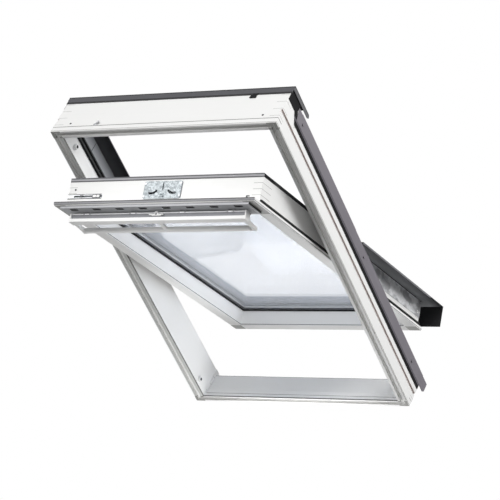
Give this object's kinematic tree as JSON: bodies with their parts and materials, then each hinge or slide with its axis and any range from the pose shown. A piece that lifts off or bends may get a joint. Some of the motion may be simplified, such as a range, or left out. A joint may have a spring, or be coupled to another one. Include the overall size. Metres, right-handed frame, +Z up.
{
  "type": "roof skylight",
  "caption": "Centre-pivot roof window: timber frame at roof pitch, glazed sash turning on side hinges, with a top control bar, swinging latches and a barrel bolt.",
  "frame": {"origin": "middle of the bottom member's outer face, on the timber below its sheet cover", "axes": "+X to the right seen from the room, +Y outdoors, +Z up; the frame lies at a 45 degree roof pitch"},
  "size_m": [0.7874, 1.1288, 0.9433],
  "materials": {
    "white_timber": "white lacquer, satin",
    "dark_sheet": "matt grey coat on aluminium sheet",
    "plain_aluminium": "mill finish, satin",
    "galvanised_sheet": "galvanised, spangled",
    "zinc_steel": "zinc plated",
    "black_rubber": "matt",
    "clear_glass": "clear, polished",
    "white_plastic": "moulded, satin gloss",
    "black_plastic": "moulded, matt"
  },
  "bodies": {
    "frame": {"frame_top_member": "white_timber", "frame_bottom_member": "white_timber", "frame_left_jamb": "white_timber", "frame_right_jamb": "white_timber", "frame_top_cover": "dark_sheet", "frame_left_cover": "dark_sheet", "frame_right_cover": "dark_sheet", "frame_bottom_cover": "dark_sheet", "frame_left_liner": "plain_aluminium", "frame_right_liner": "plain_aluminium", "frame_hinge_screws": "zinc_steel", "frame_left_side_seal": "black_rubber", "frame_right_side_seal": "black_rubber", "frame_left_gasket": "black_rubber", "frame_right_gasket": "black_rubber", "left_hinge_frame_plate": "zinc_steel", "right_hinge_frame_plate": "zinc_steel", "left_hinge_brake": "black_plastic", "right_hinge_brake": "black_plastic", "cover_screws": "zinc_steel", "lock_keeper": "zinc_steel", "bolt_bushes": "white_plastic"},
    "sash": {"sash_left_stile": "white_timber", "sash_right_stile": "white_timber", "sash_top_rail": "white_timber", "sash_bottom_rail": "white_timber", "sash_top_cover": "dark_sheet", "sash_left_cover": "dark_sheet", "sash_right_cover": "dark_sheet", "sash_bottom_cover": "dark_sheet", "vent_rail": "plain_aluminium", "glass_spacer": "plain_aluminium", "sash_left_side_plate": "galvanised_sheet", "sash_right_side_plate": "galvanised_sheet", "side_plate_rivets": "galvanised_sheet", "lock_plate": "galvanised_sheet", "lock_case": "galvanised_sheet", "left_hinge_sash_plate": "zinc_steel", "right_hinge_sash_plate": "zinc_steel", "sash_hinge_screws": "zinc_steel", "lock_screws": "zinc_steel", "bar_hinge_rod": "zinc_steel", "bolt_tray": "zinc_steel", "inner_glazing_gasket": "black_rubber", "outer_glazing_gasket": "black_rubber", "glass_edge_seal": "black_rubber", "sash_left_gasket": "black_rubber", "sash_right_gasket": "black_rubber", "sash_top_seal": "black_rubber", "inner_pane": "clear_glass", "outer_pane": "clear_glass"},
    "bar": {"bar_rail": "plain_aluminium", "control_bar": "white_plastic", "grip_bar": "white_plastic", "bar_left_end": "white_plastic", "bar_right_end": "white_plastic", "bar_centre_bracket": "white_plastic"},
    "latch_left": {"latch_left": "zinc_steel"},
    "latch_right": {"latch_right": "zinc_steel"},
    "barrel_bolt": {"barrel_bolt": "zinc_steel"}
  },
  "joints": [
    {"name": "sash_pivot", "type": "hinge", "parent": "frame", "child": "sash", "pos_m": [0, -0.34648, 0.48083], "axis": [1, 0, 0], "range_deg": [-25.3, 134.7]},
    {"name": "control_bar_tilt", "type": "hinge", "parent": "sash", "child": "bar", "pos_m": [0, -0.87747, 0.54934], "axis": [1, 0, 0], "range_deg": [-20, 0]},
    {"name": "latch_left_turn", "type": "hinge", "parent": "sash", "child": "latch_left", "pos_m": [-0.038, -0.84394, 0.62814], "axis": [0, 0.9415, -0.3371], "range_deg": [-60, 0]},
    {"name": "latch_right_turn", "type": "hinge", "parent": "sash", "child": "latch_right", "pos_m": [0.038, -0.84394, 0.62814], "axis": [0, -0.9415, 0.3371], "range_deg": [-60, 0]},
    {"name": "barrel_bolt_slide", "type": "slide", "parent": "sash", "child": "barrel_bolt", "axis": [-1, 0, 0], "range_m": [0, 0.02]}
  ],
  "couplings": [
    {"joint": "latch_left_turn", "follows": "control_bar_tilt", "ratio": 3},
    {"joint": "latch_right_turn", "follows": "control_bar_tilt", "ratio": 3}
  ]
}
